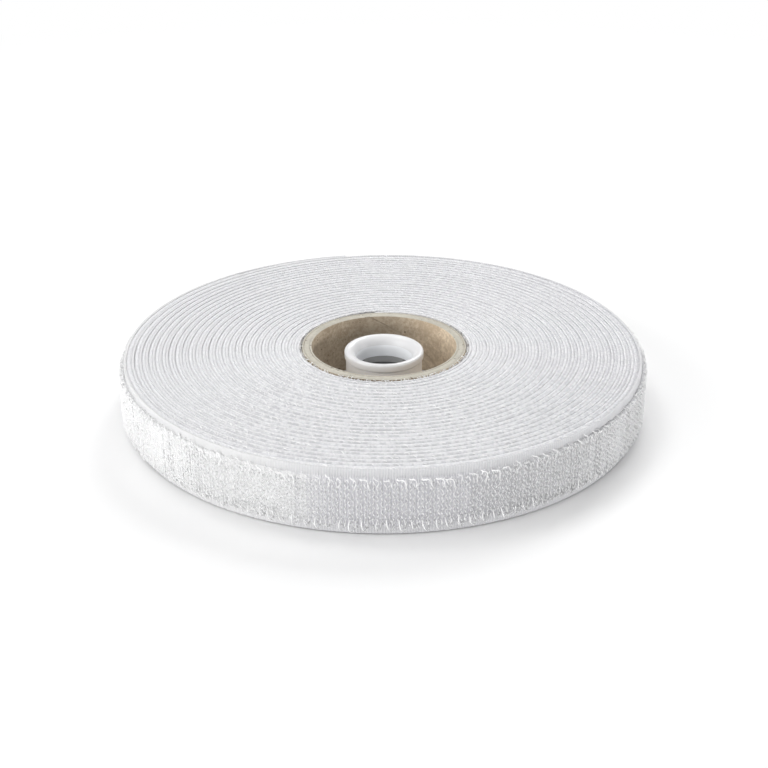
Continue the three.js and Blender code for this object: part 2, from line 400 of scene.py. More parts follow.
@dataclass(frozen=True)
class PackedPile:
    """Yarn that is packed into a fuzzy mass, with painted shade that darkens it at the roll's right."""

    light: Colour = (0.86, 0.86, 0.875)
    shade: Colour = (0.74, 0.74, 0.765)
    # painted shade: darker colours at the roll's right
    painted_shade_right_light: Colour = (0.82, 0.82, 0.835)
    painted_shade_right_dark: Colour = (0.64, 0.64, 0.67)
    right: Span = (20 * MM, 65 * MM)
    grains: float = 1500
    speckle: Span = (0.35, 0.62)
    relief: float = 0.4 * MM

    def material(self) -> Material:
        """Makes the material.

        Returns:
            The material.
        """
        s = Surface("packed_pile", Roughness=0.85)
        grain = s.noise(s.place, self.grains, detail=2)
        speckle = grain.above(*self.speckle)
        dense = s.mix(speckle, self.shade, self.light)
        # painted shade at the roll's right
        loose = s.mix(speckle, self.painted_shade_right_dark, self.painted_shade_right_light)
        s.feed(Base_Color=s.mix(s.along("X").above(*self.right), dense, loose))
        s.bump(grain, self.relief)
        return s.material


@dataclass(frozen=True)
class HookFeet:
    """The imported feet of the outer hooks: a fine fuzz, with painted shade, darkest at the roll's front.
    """

    # painted light at the roll's left, painted shade at its front and right
    painted_left_light_and_shade: Colour = (0.93, 0.93, 0.935)
    painted_shade_front: Colour = (0.67, 0.667, 0.69)
    painted_shade_right: Colour = (0.72, 0.72, 0.735)
    left: Span = (-32 * MM, 0.0)
    right: Span = (22 * MM, 56 * MM)
    grains: float = 1300
    speckle: Span = (0.32, 0.66)
    least: float = 0.86
    relief: float = 0.18 * MM

    def material(self) -> Material:
        """Makes the material.

        Returns:
            The material.
        """
        s = Surface("hook_feet", Roughness=0.85)
        across, grain = s.along("X"), s.noise(s.place, self.grains, detail=2).above(*self.speckle)
        # painted light and shade by side of the roll
        tone = s.mix(across.above(*self.right), self.painted_shade_front, self.painted_shade_right)
        tone = s.mix(across.above(*self.left), self.painted_left_light_and_shade, tone)
        s.feed(Base_Color=s.scaled(tone, grain * (1 - self.least) + self.least))
        s.bump(grain, self.relief)
        return s.material


@dataclass(frozen=True)
class PaperBoard:
    """Paper of the core: fibres, a few dark specks, a matte skin, and a paler cut edge.

    Painted light and shade scale its colour by shares at the roll's left, in the middle and at the right.
    """

    name: str
    light: Colour
    shade: Colour
    # painted light and shade across the roll: the colour's shares at the left, middle and right, and where
    # they change
    painted_light_and_shade: tuple[float, float, float] = (0.72, 0.5, 1.0)
    painted_shade_span: Span = (-20 * MM, -6 * MM)
    painted_light_span: Span = (1 * MM, 20 * MM)
    edge: Colour = (0.58, 0.55, 0.475)
    edge_shade: float = 0.84
    edge_from: Span = (CORE_TOP - 0.16 * MM, CORE_TOP - 0.04 * MM)
    speck: Colour = (0.10, 0.07, 0.045)
    speck_grains: float = 760
    speck_cut: Span = (0.71, 0.76)
    speck_share: float = 0.7
    fibre_grains: float = 900
    fibre_share: float = 0.75
    cloud_grains: float = 90
    cloud_share: float = 0.5
    grain_cut: Span = (0.48, 0.76)
    relief: float = 0.16 * MM

    def material(self) -> Material:
        """Makes the material.

        Returns:
            The material.
        """
        s = Surface(self.name, Roughness=0.92)
        fibres = s.noise(s.place, self.fibre_grains, detail=5, roughness=0.7)
        cloud = s.noise(s.place, self.cloud_grains, detail=3)
        specks = s.noise(s.place, self.speck_grains, detail=1).above(*self.speck_cut)
        grain = (fibres * self.fibre_share + cloud * self.cloud_share).above(*self.grain_cut)
        # painted light and shade: darkest in the middle, where the back of the bore is, lighter at the
        # left, full at the right
        left, middle, right = self.painted_light_and_shade
        across = s.along("X")
        painted_lighting = across.above(*self.painted_shade_span) * (middle - left) + left
        painted_lighting = painted_lighting + across.above(*self.painted_light_span) * (right - middle)
        skin = s.scaled(s.mix(grain, self.shade, self.light), painted_lighting)
        pale = s.mix(grain, tuple(c * self.edge_shade for c in self.edge), self.edge)
        base = s.mix(s.along("Z").above(*self.edge_from), skin, pale)
        s.feed(Base_Color=s.mix(specks * self.speck_share, base, self.speck))
        s.bump(fibres, self.relief)
        return s.material


@dataclass(frozen=True)
class MouldedPlastic:
    """White moulded plastic: smooth and glossy, and rougher low in the bore, where painted shade makes it
    grey.

    Painted light makes the plug and the bush's outer wall brighter than the bush's lip and throat.
    """

    colour: Colour = (0.79, 0.79, 0.795)
    shade: Colour = (0.75, 0.75, 0.76)
    # painted light on the plug and the bush's outer wall, which plug_top and wall mark out
    outer: Colour = (0.95, 0.97, 1.0)
    # painted shade low in the bore, below the throat
    painted_bore_shade: Colour = (0.46, 0.455, 0.45)
    plug_top: float = BOSS_TOP + 0.1 * MM
    wall: Span = (12.4 * MM, 12.68 * MM)
    bore: float = 11.6 * MM
    depth: Span = (3.2 * MM, 12.25 * MM)
    soft: float = 0.05 * MM
    cloud_grains: float = 60
    rough: float = 0.2
    rough_cloud: float = 0.12
    rough_deep: float = 0.4
    dimple_grains: float = 180
    relief: float = 0.01 * MM

    def material(self) -> Material:
        """Makes the material.

        Returns:
            The material.
        """
        s = Surface("white_plastic", IOR=1.49, **translucent(0.35, 1.5 * MM))
        cloud = s.noise(s.place, self.cloud_grains, detail=2)
        radius, up, soft = s.off_axis, s.along("Z"), self.soft
        low, high = self.depth
        # painted shade in the bore below the throat, where it is also rougher
        level = up.above(low, low + soft) - up.above(high - soft, high)
        painted_shade_in_bore = level * (1 - radius.above(self.bore - soft, self.bore))
        # painted light: the plug and the bush's outer wall are whiter than the lip and throat
        lip = up.above(self.plug_top - soft, self.plug_top + soft) - radius.above(*self.wall)
        white = s.mix(lip, self.outer, s.mix(cloud, self.shade, self.colour))
        s.feed(Base_Color=s.mix(painted_shade_in_bore, white, self.painted_bore_shade))
        s.feed(Roughness=cloud * self.rough_cloud + self.rough + painted_shade_in_bore * self.rough_deep)
        s.bump(s.noise(s.place, self.dimple_grains, detail=2), self.relief, strength=0.5)
        return s.material


@dataclass(frozen=True)
class AdhesiveFilm:
    """The strip of adhesive that starts the first turn."""

    light: Colour = (0.74, 0.69, 0.55)
    shade: Colour = (0.66, 0.60, 0.46)
    grains: float = 240
    relief: float = 0.03 * MM

    def material(self) -> Material:
        """Makes the material.

        Returns:
            The material.
        """
        s = Surface("adhesive", Roughness=0.45)
        cloud = s.noise(s.place, self.grains, detail=3)
        s.feed(Base_Color=s.mix(cloud, self.shade, self.light))
        s.bump(cloud, self.relief)
        return s.material


def link(name: str, data: bpy.types.ID) -> Object:
    """Makes an object of some data and puts it in the scene.

    Args:
        name: the object's name.
        data: its mesh, curve, light or camera.

    Returns:
        The object.
    """
    made = bpy.data.objects.new(name, data)
    bpy.context.scene.collection.objects.link(made)
    return made


def mesh_object(name: str, points: Any, faces: Faces, material: Material | None) -> Object:
    """Makes a smooth mesh object.

    Args:
        name: the object's name.
        points: the corners, in metres.
        faces: the corners of each face.
        material: the finish, if it has one.

    Returns:
        The object.
    """
    mesh = bpy.data.meshes.new(name)
    mesh.from_pydata([tuple(p) for p in points], [], faces)
    mesh.polygons.foreach_set("use_smooth", [True] * len(mesh.polygons))
    if material:
        mesh.materials.append(material)
    return link(name, mesh)


def as_plain_mesh(obj: Object, sharp_degrees: float | None = None) -> Object:
    """Bakes an object's modifiers into a plain mesh object of the same name.

    Args:
        obj: the object, which is removed.
        sharp_degrees: edges that turn by more than this are kept sharp.

    Returns:
        The new object.
    """
    graph = bpy.context.evaluated_depsgraph_get()
    mesh = bpy.data.meshes.new_from_object(obj.evaluated_get(graph))
    name = obj.name
    bpy.data.objects.remove(obj)
    if sharp_degrees is not None:
        mesh.polygons.foreach_set("use_smooth", [True] * len(mesh.polygons))
        mesh.set_sharp_from_angle(angle=math.radians(sharp_degrees))
    mesh.name = name
    return link(name, mesh)


def ramp(value: np.ndarray, low: float, high: float) -> np.ndarray:
    """How far a value has come from low to high, evenly, from 0 to 1."""
    return np.clip((value - low) / (high - low), 0, 1)


def smooth(share: np.ndarray) -> np.ndarray:
    """A share of 0 to 1 with a soft start and a soft end."""
    return share * share * (3 - 2 * share)


def ring_faces(rings: int, count: int, closed: bool = False) -> Faces:
    """The faces between rings of corners that follow one another.

    Args:
        rings: the number of rings.
        count: the number of corners in each ring.
        closed: True if the last ring joins the first.

    Returns:
        The corners of each face, ring by ring.
    """
    pairs = [(i * count, (i + 1) % rings * count) for i in range(rings if closed else rings - 1)]
    return [
        (a + k, b + k, b + (k + 1) % count, a + (k + 1) % count)
        for a, b in pairs
        for k in range(count)
    ]


def tube_faces(rings: int, count: int) -> Faces:
    """The faces of a tube with closed ends, whose rings turn the other way than those of ring_faces.

    Args:
        rings: the number of rings.
        count: the number of corners in each ring.

    Returns:
        The corners of each face, with the two ends last.
    """
    sides = [(a, d, c, b) for a, b, c, d in ring_faces(rings, count)]
    last = (rings - 1) * count
    return [*sides, tuple(range(count))[::-1], tuple(range(last, last + count))]


def turned_ring(section: Ring, sides: int) -> tuple[np.ndarray, Faces]:
    """Turns a closed section of radius and height about +Z.

    Args:
        section: the section's corners, counter-clockwise with the radius to the right.
        sides: how many steps go round.

    Returns:
        The corners and the faces.
    """
    radius, height = np.array(section).T
    angle = np.arange(sides)[:, None] * TAU / sides
    level = np.broadcast_to(height, (sides, len(height)))
    points = np.stack([np.cos(angle) * radius, np.sin(angle) * radius, level], axis=-1)
    return points.reshape(-1, 3), ring_faces(sides, len(height), closed=True)


def arc(radius: float, height: float, round_: float, sweep: Span, steps: int) -> list[Span]:
    """Points of a round in a section, both ends included.

    Args:
        radius: the centre's radius.
        height: the centre's height.
        round_: the radius of the round.
        sweep: the first and the last angle, in degrees.
        steps: the number of steps.

    Returns:
        The points, as radius and height.
    """
    angles = np.radians(np.linspace(*sweep, steps + 1))
    return [(radius + round_ * math.cos(a), height + round_ * math.sin(a)) for a in angles]


class GeometryTree(NodeMaker):
    """A Geometry Nodes tree with named inputs."""

    def __init__(self, name: str, **inputs: str) -> None:
        """Starts a tree.

        Args:
            name: the tree's name.
            inputs: the name of each input, with _ for a space, and the type of its socket.
        """
        super().__init__(bpy.data.node_groups.new(name, "GeometryNodeTree"))
        self.identifiers: dict[str, str] = {}
        face = self.tree.interface
        face.new_socket("Geometry", in_out="INPUT", socket_type="NodeSocketGeometry")
        face.new_socket("Geometry", in_out="OUTPUT", socket_type="NodeSocketGeometry")
        for key, kind in inputs.items():
            socket = face.new_socket(key.replace("_", " "), in_out="INPUT", socket_type=kind)
            self.identifiers[key] = socket.identifier
        self.entry = self.tree.nodes.new("NodeGroupInput")
        self.exit = self.tree.nodes.new("NodeGroupOutput")

    def given(self, key: str) -> Term:
        """The value of a named input."""
        return Term(self, self.entry.outputs[key.replace("_", " ")])

    def close(self, geometry: Term) -> None:
        """Ends the tree: realizes what it has made and gives it its material.

        Args:
            geometry: what the tree has made.
        """
        real = self.node("GeometryNodeRealizeInstances", None, {0: geometry})
        soft = self.node("GeometryNodeSetShadeSmooth", None, {0: real})
        inputs = {0: soft, "Material": self.given("Material")}
        dressed = self.node("GeometryNodeSetMaterial", None, inputs)
        self.tree.links.new(dressed.socket, self.exit.inputs[0])

    def run(self, obj: Object, **values: Any) -> Object:
        """Runs the tree on an object.

        Args:
            obj: the object that carries the path or the points, which is removed.
            values: a value for each named input.

        Returns:
            The result, as a plain mesh object.
        """
        modifier = obj.modifiers.new(self.tree.name, "NODES")
        modifier.node_group = self.tree
        for key, value in values.items():
            modifier[self.identifiers[key]] = value
        return as_plain_mesh(obj)


def sweep_tree() -> GeometryTree:
    """A tree that carries a section along a path and keeps each point's length along it.

    Returns:
        The tree, whose inputs are the section's object and the material.
    """
    tree = GeometryTree("swept_section", Section="NodeSocketObject", Material="NodeSocketMaterial")
    length = tree.node("GeometryNodeSplineParameter", output="Length")
    marked = tree.node(
        "GeometryNodeStoreNamedAttribute",
        {"data_type": "FLOAT", "domain": "POINT"},
        {"Geometry": tree.given("Geometry"), "Name": "along", "Value": length},
    )
    section = tree.node("GeometryNodeObjectInfo", None, {"Object": tree.given("Section")}, "Geometry")
    inputs = {"Curve": marked, "Profile Curve": section, "Fill Caps": True}
    tree.close(tree.node("GeometryNodeCurveToMesh", None, inputs))
    return tree


def hook_tree() -> GeometryTree:
    """A tree that stands a hook on each point, turned and sized as the point says, and a little askew.

    Returns:
        The tree, whose inputs are the hook's object, the most it may turn, the seed and the material.
    """
    tree = GeometryTree(
        "hook_field",
        Hook="NodeSocketObject",
        Most_Turn="NodeSocketVector",
        Seed="NodeSocketInt",
        Material="NodeSocketMaterial",
    )
    hook = tree.node("GeometryNodeObjectInfo", None, {"Object": tree.given("Hook")}, "Geometry")
    facing, size = (
        tree.node("GeometryNodeInputNamedAttribute", {"data_type": kind}, {"Name": name})
        for kind, name in (("FLOAT_VECTOR", "facing"), ("FLOAT", "size"))
    )
    stand = {"Points": tree.given("Geometry"), "Instance": hook, "Rotation": facing, "Scale": size}
    placed = tree.node("GeometryNodeInstanceOnPoints", None, stand)
    most = tree.given("Most_Turn")
    askew = {"Min": tree.scaled(most, -1.0), "Max": most, "Seed": tree.given("Seed")}
    turn = tree.node("FunctionNodeRandomValue", {"data_type": "FLOAT_VECTOR"}, askew)
    tree.close(tree.node("GeometryNodeRotateInstances", None, {"Instances": placed, "Rotation": turn}))
    return tree


def path_object(name: str, points: np.ndarray, cyclic: bool = False) -> Object:
    """Makes a curve object of one poly spline, which stays upright along its length.

    Args:
        name: the object's name.
        points: the spline's points, in metres.
        cyclic: True if the last point joins the first.

    Returns:
        The object.
    """
    curve = bpy.data.curves.new(name, "CURVE")
    curve.dimensions = "3D"
    curve.twist_mode = "Z_UP"
    spline = curve.splines.new("POLY")
    spline.points.add(len(points) - 1)
    spline.points.foreach_set("co", np.c_[points, np.ones(len(points))].ravel())
    spline.use_cyclic_u = cyclic
    return link(name, curve)


@dataclass(frozen=True)
class TapePath:
    """The line of the ground's middle, from the core out to the cut end, clockwise from above.

    Each turn is nearly a circle, and climbs to the next one at the roll's back, where the tape ends.
    Beats are the slow waves along the tape: how many there are in a turn, and the share of each.
    """

    turns: float = 26.75
    first: float = -0.24
    start_radius: float = 27.7 * MM
    last_radius: float = 81.9 * MM
    end_angle: float = math.radians(100)
    peel_angle: float = math.radians(129.9)
    climb_share: float = 0.24
    aside: float = 0.35 * MM
    oval: float = 0.15 * MM
    drift: float = 0.08 * MM
    drift_phase: float = 1.3
    lift: float = 0.34 * MM
    wave: float = 0.08 * MM
    wave_phase: float = 4.1
    beats: tuple[tuple[float, float], ...] = ((2.63, 0.4), (5.21, 0.3), (9.47, 0.2), (17.3, 0.1))
    samples: int = 4000

    @property
    def pitch(self) -> float:
        """How far the tape climbs in a turn."""
        return (self.last_radius - self.start_radius) / math.floor(self.turns)

    @property
    def peel_turn(self) -> float:
        """Where the loose end leaves the roll."""
        return self.turns - (self.peel_angle - self.end_angle) / TAU

    def angle(self, turn: np.ndarray) -> np.ndarray:
        """The angle from +X at a turn."""
        return self.end_angle + TAU * (self.turns - turn)

    def wander(self, turn: np.ndarray, phase: float) -> np.ndarray:
        """A slow irregular wave along the tape, from -1 to 1."""
        numbered = enumerate(self.beats, start=1)
        return sum(share * np.sin(TAU * beat * turn + phase * k) for k, (beat, share) in numbered)

    def radius(self, turn: np.ndarray) -> np.ndarray:
        """The radius of the ground's middle.

        Args:
            turn: the turns.

        Returns:
            One radius for each turn.
        """
        whole, half_climb = math.floor(self.turns), self.climb_share / 2
        # each ring's climb has its middle at half of the ring, where the tape ends
        ring, part = np.divmod(turn - self.turns + whole + 1.5, 1.0)
        rise = smooth(ramp(part, 0.5 - half_climb, 0.5 + half_climb))
        climbed = np.minimum(ring - 1 + rise, whole)
        across = np.cos(self.angle(turn))
        shift = -(self.aside + self.oval * across) * across * turn / self.turns
        drift = self.drift * self.wander(turn, self.drift_phase)
        return self.start_radius + self.pitch * climbed + shift + drift

    def height(self, turn: np.ndarray) -> np.ndarray:
        """How far the tape stands up from the floor at a turn."""
        return self.lift + self.wave * self.wander(turn, self.wave_phase)

    def at(self, turn: np.ndarray, out: Any = 0.0, up: Any = 0.0) -> np.ndarray:
        """Points beside the path.

        Args:
            turn: the turns.
            out: how far outwards from the ground's middle.
            up: how far above the tape's lower edge.

        Returns:
            One point for each turn.
        """
        angle, radius, level = self.angle(turn), self.radius(turn) + out, self.height(turn) + up
        return np.stack([radius * np.cos(angle), radius * np.sin(angle), level], axis=-1)

    def lengths(self, turns: Span) -> tuple[np.ndarray, np.ndarray]:
        """Measures a stretch of tape.

        Args:
            turns: its first and last turn.

        Returns:
            Places along it, as turns, and the length of tape up to each.
        """
        places = np.linspace(*turns, self.samples)
        steps = np.linalg.norm(np.diff(self.at(places), axis=0), axis=1)
        return places, np.r_[0, np.cumsum(steps)]

    def length(self, turns: Span) -> float:
        """The length of tape between two turns."""
        return float(self.lengths(turns)[1][-1])

    def facing(self, turn: np.ndarray, turned: Any = 0) -> np.ndarray:
        """The rotation that stands a hook on the outer face, with its own X along the tape.

        Args:
            turn: the turns.
            turned: 1 for a hook that is turned half round on its foot, 0 for the others.

        Returns:
            One rotation for each turn, in radians.
        """
        swing = self.angle(turn) + math.pi / 2 + math.pi * turned
        tip = math.pi / 2 - math.pi * turned + np.zeros_like(swing)
        return np.stack([tip, np.zeros_like(swing), swing], axis=-1)


def wire(points: np.ndarray, thickness: float, sides: int = 3) -> tuple[np.ndarray, Faces]:
    """A thin tube along a line of points, closed at both ends.

    Args:
        points: the line, in metres.
        thickness: the tube's diameter.
        sides: the number of its sides.

    Returns:
        The corners and the faces.
    """
    never_along = (0.09, 0.98, 0.17)
    ahead = np.gradient(points, axis=0)
    ahead /= np.linalg.norm(ahead, axis=1, keepdims=True)
    side = np.cross(ahead, never_along)
    side /= np.linalg.norm(side, axis=1, keepdims=True)
    other = np.cross(ahead, side)
    angle = np.arange(sides)[None, :, None] * TAU / sides
    ring = side[:, None] * np.cos(angle) + other[:, None] * np.sin(angle)
    corners = (points[:, None] + ring * thickness / 2).reshape(-1, 3)
    return corners, tube_faces(len(points), sides)


def wavy_line(half: float = 7.2, step: float = 0.6, wave: float = 2.4) -> Line:
    """The line of a strand across the tape, in millimetres, which sways and rises as it goes.

    Args:
        half: half of its length.
        step: how far apart its points are.
        wave: the length of a sway, in which it rises twice.

    Returns:
        Its points.
    """
    sway, height, rise = 0.3, 1.72, 0.14
    across = np.arange(-half, half + step / 6, step)
    turns = TAU * across / wave
    return tuple(zip(sway * np.cos(turns), across, height + rise * np.sin(2 * turns)))


@dataclass(frozen=True)
class HookKind:
    """A hook that is repeated: its line, and how much it varies.

    The line is in millimetres: X along the tape, Y across it, Z out of it. The turns are about the
    same axes, in degrees either way.
    """

    line: Line
    turn: tuple[float, float, float]
    size: Span
    thickness: float


@dataclass(frozen=True)
class HookStand:
    """Where the hooks of one field stand: a place, a rotation and a size for each."""

    places: np.ndarray
    facing: np.ndarray
    size: np.ndarray


CANE = HookKind(
    line=(
        (0.0, -0.8, -0.05),
        (0.14, -0.72, 1.0),
        (0.22, -0.35, 1.6),
        (0.06, 0.15, 1.8),
        (-0.18, 0.5, 1.7),
        (-0.1, 0.88, 1.2),
    ),
    turn=(6, 6, 7),
    size=(0.92, 1.06),
    thickness=0.31 * MM,
)
STRAND = HookKind(line=wavy_line(), turn=(1.0, 1.0, 1.6), size=(0.98, 1.02), thickness=0.32 * MM)
LOWER_LOOP = HookKind(
    line=(
        (-0.7, 3.0, 1.7),
        (-0.78, 1.3, 2.15),
        (-0.62, 0.2, 2.2),
        (0.0, -0.42, 2.0),
        (0.62, 0.2, 2.2),
        (0.76, 1.3, 2.15),
        (0.7, 2.8, 1.7),
    ),
    turn=(6, 6, 14),
    size=(0.8, 1.15),
    thickness=0.38 * MM,
)
UPPER_CURL = HookKind(
    line=(
        (-1.25, 0.55, 1.8),
        (-0.7, 0.3, 2.2),
        (-0.1, 0.35, 2.3),
        (0.4, -0.1, 2.25),
        (0.6, -0.9, 2.2),
        (0.45, -1.8, 2.1),
        (0.55, -3.0, 1.8),
    ),
    turn=(6, 6, 30),
    size=(0.8, 1.15),
    thickness=0.38 * MM,
)
GAP_CURL = HookKind(
    line=(
        (-0.6, -0.5, -0.3),
        (-0.5, 0.1, 0.1),
        (-0.2, 0.45, 0.4),
        (0.25, 0.4, 0.3),
        (0.55, 0.0, 0.0),
        (0.5, -0.5, -0.3),
    ),
    turn=(50, 40, 180),
    size=(0.7, 1.15),
    thickness=0.22 * MM,
)
EDGE_YARN = HookKind(
    line=(
        (-0.9, -0.5, -0.5),
        (-0.6, 0.0, -0.25),
        (-0.2, 0.22, 0.05),
        (0.25, 0.2, 0.2),
        (0.7, -0.05, 0.35),
        (0.95, -0.5, 0.45),
    ),
    turn=(20, 25, 30),
    size=(0.8, 1.2),
    thickness=0.27 * MM,
)


@dataclass
class WoundTape:
    """The tape: its ground wound on the core, the pile between the turns, and the hooks.

    Between the two free turns, counted back from its end, the tape becomes the outermost one, which
    lacks the free share of the lean. A stray is about how far hooks stand from their even places,
    along the tape in turns and across it. The depths of curls are heights from the upper edge.
    """

    path: TapePath
    weave: Material
    yarn: Material
    pile: Material
    feet: Material
    width: float = 20 * MM
    thickness: float = 0.8 * MM
    selvedge: float = 2.4 * MM
    edge_round: float = 0.22 * MM
    edge_thin: Span = (0.35, 0.75)
    edge_row: float = 1.0 * MM
    lean: float = 0.7 * MM
    lean_reach: float = 3.84 * MM
    upright_turns: float = 1.2
    free_turns: Span = (1.3, 0.95)
    free_share: float = 0.85
    bend_turns: float = 0.012
    pile_gap: float = 0.04 * MM
    pile_crest: float = 2.1 * MM
    pile_foot: float = 2.0 * MM
    pile_swell: float = 0.2 * MM
    pile_middle: float = 0.6
    pile_start: float = 0.02
    pressed: float = 0.6
    feet_height: float = 1.15 * MM
    feet_root: float = 0.1 * MM
    feet_slope: Span = (0.15 * MM, 0.7 * MM)
    feet_least: float = 0.05
    steps_per_turn: int = 120
    front: float = math.radians(-89)
    packed_off_front: Span = (math.radians(12.6), math.radians(54.6))
    sunk_off_front: Span = (math.radians(19.44), math.radians(35.64))
    column_pitch: float = 1.08 * MM
    hook_pitch: float = 1.55 * MM
    hook_size: Span = (0.82, 0.96)
    hook_least: float = 0.6
    hook_stray: Span = (0.00012, 0.12 * MM)
    strand_stray: float = 0.8 * MM
    strand_out: Span = (-0.5 * MM, 0.1 * MM)
    strand_sink: float = 0.5 * MM
    loop_columns: int = 3
    loop_stray: Span = (0.0006, 0.18 * MM)
    loop_out: Span = (-0.2 * MM, 0.1 * MM)
    loop_sink: float = 1.2 * MM
    curl_pitch: float = 0.8 * MM
    curl_start: float = -0.13
    curl_parting: float = 16.0
    curl_depth: Span = (-1.7 * MM, -1.1 * MM)
    gap_middle: float = 0.6
    gap_spread: float = 0.25 * MM
    core_curl_pitch: float = 0.4 * MM
    core_curl_end: float = 0.85
    core_gap: Span = (-1.15 * MM, -0.65 * MM)
    yarn_pitch: float = 0.8 * MM
    yarn_start: float = 0.05
    yarn_span: float = math.radians(50)
    yarn_depth: Span = (-1.2 * MM, -0.1 * MM)
    seed: int = 7

    def __post_init__(self) -> None:
        """Makes the two trees that the tape's pieces come from, and the source of all chance."""
        self.sweep = sweep_tree()
        self.hooks = hook_tree()
        self.random = np.random.default_rng(self.seed)

    def ground_section(self) -> list[Span]:
        """The ground's section: outwards and up, with soft edges.

        Returns:
            The section's corners.
        """
        half, edge, middle = self.thickness / 2, self.edge_round, self.width / 2
        thin, fuller = self.edge_thin
        low = [(thin * half, 0.0), (fuller * half, 0.3 * edge)]
        low += [(half, up) for up in (edge, self.edge_row, self.selvedge, self.lean_reach)]
        outer = [*low, (half, middle), *((out, self.width - up) for out, up in low[::-1])]
        return [*outer, *((-out, up) for out, up in outer[::-1])]

    def pile_section(self, share: float = 1.0) -> list[Span]:
        """The section of the pile between two turns, whose upper side swells in the middle.

        Args:
            share: how much of the gap it fills.

        Returns:
            The section's corners.
        """
        inner = self.thickness / 2 + self.pile_gap
        outer = inner + share * (self.path.pitch - self.thickness - 2 * self.pile_gap)
        low, high = self.selvedge, self.width - self.selvedge
        crest, foot = high + self.pile_crest, high + self.pile_foot
        swell = (self.pile_middle * outer, (crest + foot) / 2 + self.pile_swell)
        return [(outer, low), (outer, foot), swell, (inner, crest), (inner, low)]

    def feet_section(self) -> list[Span]:
        """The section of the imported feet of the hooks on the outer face: a low mound on the ground.

        Returns:
            The section's corners.
        """
        half, low, high = self.thickness / 2, self.selvedge, self.width - self.selvedge
        outs = (-self.feet_root, 0.5 * self.feet_height, self.feet_height)
        slope = list(zip(outs, (0.0, *self.feet_slope)))
        return [(half + x, low + y) for x, y in slope] + [(half + x, high - y) for x, y in slope[::-1]]

    def swept(self, name: str, section: Ring, turns: Span, material: Material) -> Object:
        """A strip along the path.

        Args:
            name: the piece's name.
            section: its section, outwards and up.
            turns: its first and last turn.
            material: its finish.

        Returns:
            The strip.
        """
        start, end = turns
        steps = max(3, math.ceil((end - start) * self.steps_per_turn))
        half_round = np.array([(-x, -y, 0.0) for x, y in section])  # a sweep turns it half round
        profile = path_object(name + "_section", half_round, cyclic=True)
        route = path_object(name, self.path.at(np.linspace(start, end, steps + 1)))
        made = self.sweep.run(route, Section=profile, Material=material)
        bpy.data.objects.remove(profile)
        self.lean_inwards(made.data, turns)
        return made

    def lean_inwards(self, mesh: Mesh, turns: Span) -> None:
        """Leans a strip's upper edge towards the axis, and marks the outermost turn and the outer face.

        The first turn stands upright on the core, and the last one has no turn on it to press it.

        Args:
            mesh: the strip, which is changed.
            turns: its first and last turn.
        """
        points, turn = self.corners(mesh, turns)
        radius = np.hypot(points[:, 0], points[:, 1])
        out, pitch = radius - self.path.radius(turn), self.path.pitch
        beside = ramp(out, pitch / 4, 3 * pitch / 4)
        low, high = (self.path.turns - t for t in self.free_turns)
        last, unpressed = (ramp(t, low, high) for t in (turn, turn + beside))
        share = ramp(turn, 0, self.upright_turns) * (1 - self.free_share * unpressed)
        top = ramp(points[:, 2] - self.path.height(turn), self.width - self.lean_reach, self.width)
        points[:, :2] *= (1 - self.lean * share * top * top / radius)[:, None]
        mesh.vertices.foreach_set("co", points.ravel())
        for name, values in (("outermost", last), ("outer_face", out > 0)):
            marks = mesh.attributes.new(name, "FLOAT", "POINT")
            marks.data.foreach_set("value", values.astype(np.float32))

    def corners(self, mesh: Mesh, turns: Span) -> tuple[np.ndarray, np.ndarray]:
        """The corners of a strip.

        Args:
            mesh: the strip.
            turns: its first and last turn.

        Returns:
            The corners, and the turn that each belongs to.
        """
        points = np.empty((len(mesh.vertices), 3))
        along = np.empty(len(points))
        mesh.vertices.foreach_get("co", points.ravel())
        mesh.attributes["along"].data.foreach_get("value", along)
        places, lengths = self.path.lengths(turns)
        return points, np.interp(along, lengths, places)

    def hook_feet(self, name: str, turns: Span) -> Object:
        """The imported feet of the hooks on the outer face, which thin out towards the roll's front.

        Args:
            name: the piece's name.
            turns: its first and last turn.

        Returns:
            The strip.
        """
        made = self.swept(name, self.feet_section(), turns, self.feet)
        points, turn = self.corners(made.data, turns)
        base = self.path.radius(turn) + self.thickness / 2 - self.feet_root
        radius = np.hypot(points[:, 0], points[:, 1])
        share = self.feet_least + (1 - self.feet_least) * self.packed(turn)
        points[:, :2] *= ((base + (radius - base) * share) / radius)[:, None]
        made.data.vertices.foreach_set("co", points.ravel())
        return made

    def field(self, name: str, kind: HookKind, stand: HookStand) -> Object:
        """A field of hooks of one kind.

        Args:
            name: the piece's name.
            kind: the hook that is repeated.
            stand: where the hooks stand.

        Returns:
            The field, as one mesh.
        """
        cloud = bpy.data.meshes.new(name)
        cloud.from_pydata([tuple(p) for p in stand.places], [], [])
        size = stand.size * self.random.uniform(*kind.size, len(stand.size))
        for key, type_, field, values in (
            ("facing", "FLOAT_VECTOR", "vector", stand.facing),
            ("size", "FLOAT", "value", size),
        ):
            stored = cloud.attributes.new(key, type_, "POINT")
            stored.data.foreach_set(field, np.ascontiguousarray(values, dtype=np.float32).ravel())
        hook = mesh_object(name + "_hook", *wire(np.array(kind.line) * MM, kind.thickness), None)
        made = self.hooks.run(
            link(name, cloud),
            Hook=hook,
            Most_Turn=tuple(math.radians(a) for a in kind.turn),
            Seed=self.seed,
            Material=self.yarn,
        )
        bpy.data.objects.remove(hook)
        return made

    def columns(self, turns: Span) -> np.ndarray:
        """Where columns of hooks cross a stretch of tape.

        Args:
            turns: its first and last turn.

        Returns:
            The turn of each column.
        """
        start, end = turns
        count = round(self.path.length(turns) / self.column_pitch)
        return start + (np.arange(count) + 0.5) * (end - start) / count

    def off_front(self, turn: np.ndarray) -> np.ndarray:
        """The angle between a turn and the place where the looser yarns stand highest."""
        return np.abs((self.path.angle(turn) - self.front + math.pi) % TAU - math.pi)

